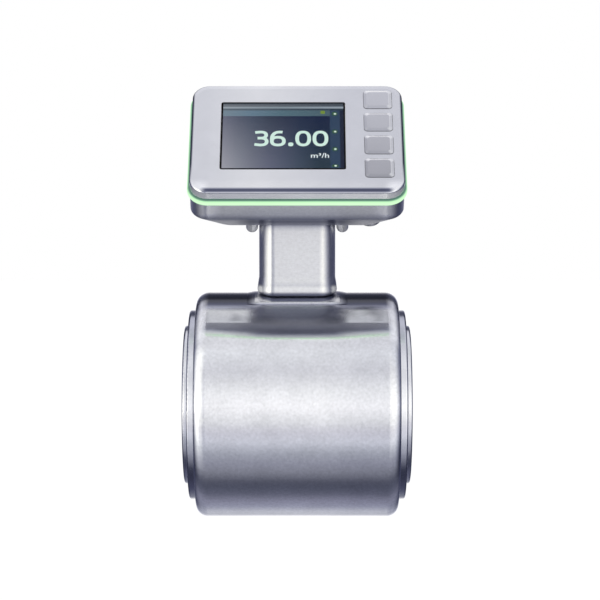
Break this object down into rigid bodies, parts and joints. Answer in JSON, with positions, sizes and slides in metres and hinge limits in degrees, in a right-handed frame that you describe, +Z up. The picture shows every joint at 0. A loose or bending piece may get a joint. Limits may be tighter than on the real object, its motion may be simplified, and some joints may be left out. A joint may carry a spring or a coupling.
{
  "type": "electromagnetic flow meter",
  "caption": "Stainless steel electromagnetic flow meter with a drum-shaped pipe sensor, a short neck and an inclined display head with push keys and a light ring.",
  "frame": {"origin": "middle of the flow bore", "axes": "+X along the flow, to the viewer's right; +Z up the neck; the display looks towards -Y and up"},
  "size_m": [0.114, 0.1142, 0.2189],
  "materials": {
    "drum_steel": "satin, grain round the drum",
    "disc_steel": "turned",
    "tube_steel": "drawn",
    "liner_plastic": "smooth, waxy",
    "electrode_alloy": "ground",
    "sleeve_plastic": "turned",
    "pole_iron": "bare",
    "coil_wire": "enamelled copper",
    "potting": "cast resin",
    "loom_sheath": "smooth",
    "housing_steel": "satin blasted casting",
    "bezel_steel": "satin, fine grain",
    "key_steel": "satin",
    "ring_light": "translucent, lit",
    "gasket_rubber": "matt",
    "window_glass": "polished",
    "panel_glass": "display panel",
    "holder_plastic": "moulded",
    "board_green": "lacquered board",
    "switch_plastic": "moulded",
    "lamp_plastic": "moulded",
    "module_black": "moulded",
    "standoff_steel": "turned",
    "screw_steel": "polished",
    "washer_rubber": "matt",
    "socket_steel": "turned",
    "insert_plastic": "moulded",
    "contact_gold": "plated"
  },
  "bodies": {
    "meter": {"bezel_gasket": "gasket_rubber", "board_standoffs": "standoff_steel", "coil_lower": "coil_wire", "coil_upper": "coil_wire", "cover_screw_seals": "washer_rubber", "cover_screws": "screw_steel", "display_board": "board_green", "display_window": "window_glass", "drum_shell": "drum_steel", "electrode_front": "electrode_alloy", "electrode_nut_front": "electrode_alloy", "electrode_nut_rear": "electrode_alloy", "electrode_rear": "electrode_alloy", "electrode_sleeve_front": "sleeve_plastic", "electrode_sleeve_rear": "sleeve_plastic", "end_flange_left": "disc_steel", "end_flange_right": "disc_steel", "field_yoke": "pole_iron", "front_bezel": "bezel_steel", "head_housing": "housing_steel", "housing_gasket": "gasket_rubber", "key_switches": "switch_plastic", "lcd_holder": "holder_plastic", "lcd_panel": "panel_glass", "light_ring": "ring_light", "liner": "liner_plastic", "loom_plug": "module_black", "main_board": "board_green", "measuring_tube": "tube_steel", "pole_piece_lower": "pole_iron", "pole_piece_upper": "pole_iron", "power_module": "module_black", "ring_leds": "lamp_plastic", "sensor_module": "potting", "signal_loom": "loom_sheath", "socket_contacts": "contact_gold", "socket_insert": "insert_plastic", "socket_nut": "socket_steel", "socket_seal": "washer_rubber", "socket_shell": "socket_steel", "window_bond": "gasket_rubber"},
    "key_1": {"key_1": "key_steel"},
    "key_2": {"key_2": "key_steel"},
    "key_3": {"key_3": "key_steel"},
    "key_4": {"key_4": "key_steel"}
  },
  "joints": [
    {"name": "key_1_press", "type": "slide", "parent": "meter", "child": "key_1", "axis": [0, 0.7071, -0.7071], "range_m": [0, 0.0005], "stiffness_N_per_m": 1500, "springref_m": -0.0003},
    {"name": "key_2_press", "type": "slide", "parent": "meter", "child": "key_2", "axis": [0, 0.7071, -0.7071], "range_m": [0, 0.0005], "stiffness_N_per_m": 1500, "springref_m": -0.0003},
    {"name": "key_3_press", "type": "slide", "parent": "meter", "child": "key_3", "axis": [0, 0.7071, -0.7071], "range_m": [0, 0.0005], "stiffness_N_per_m": 1500, "springref_m": -0.0003},
    {"name": "key_4_press", "type": "slide", "parent": "meter", "child": "key_4", "axis": [0, 0.7071, -0.7071], "range_m": [0, 0.0005], "stiffness_N_per_m": 1500, "springref_m": -0.0003}
  ]
}
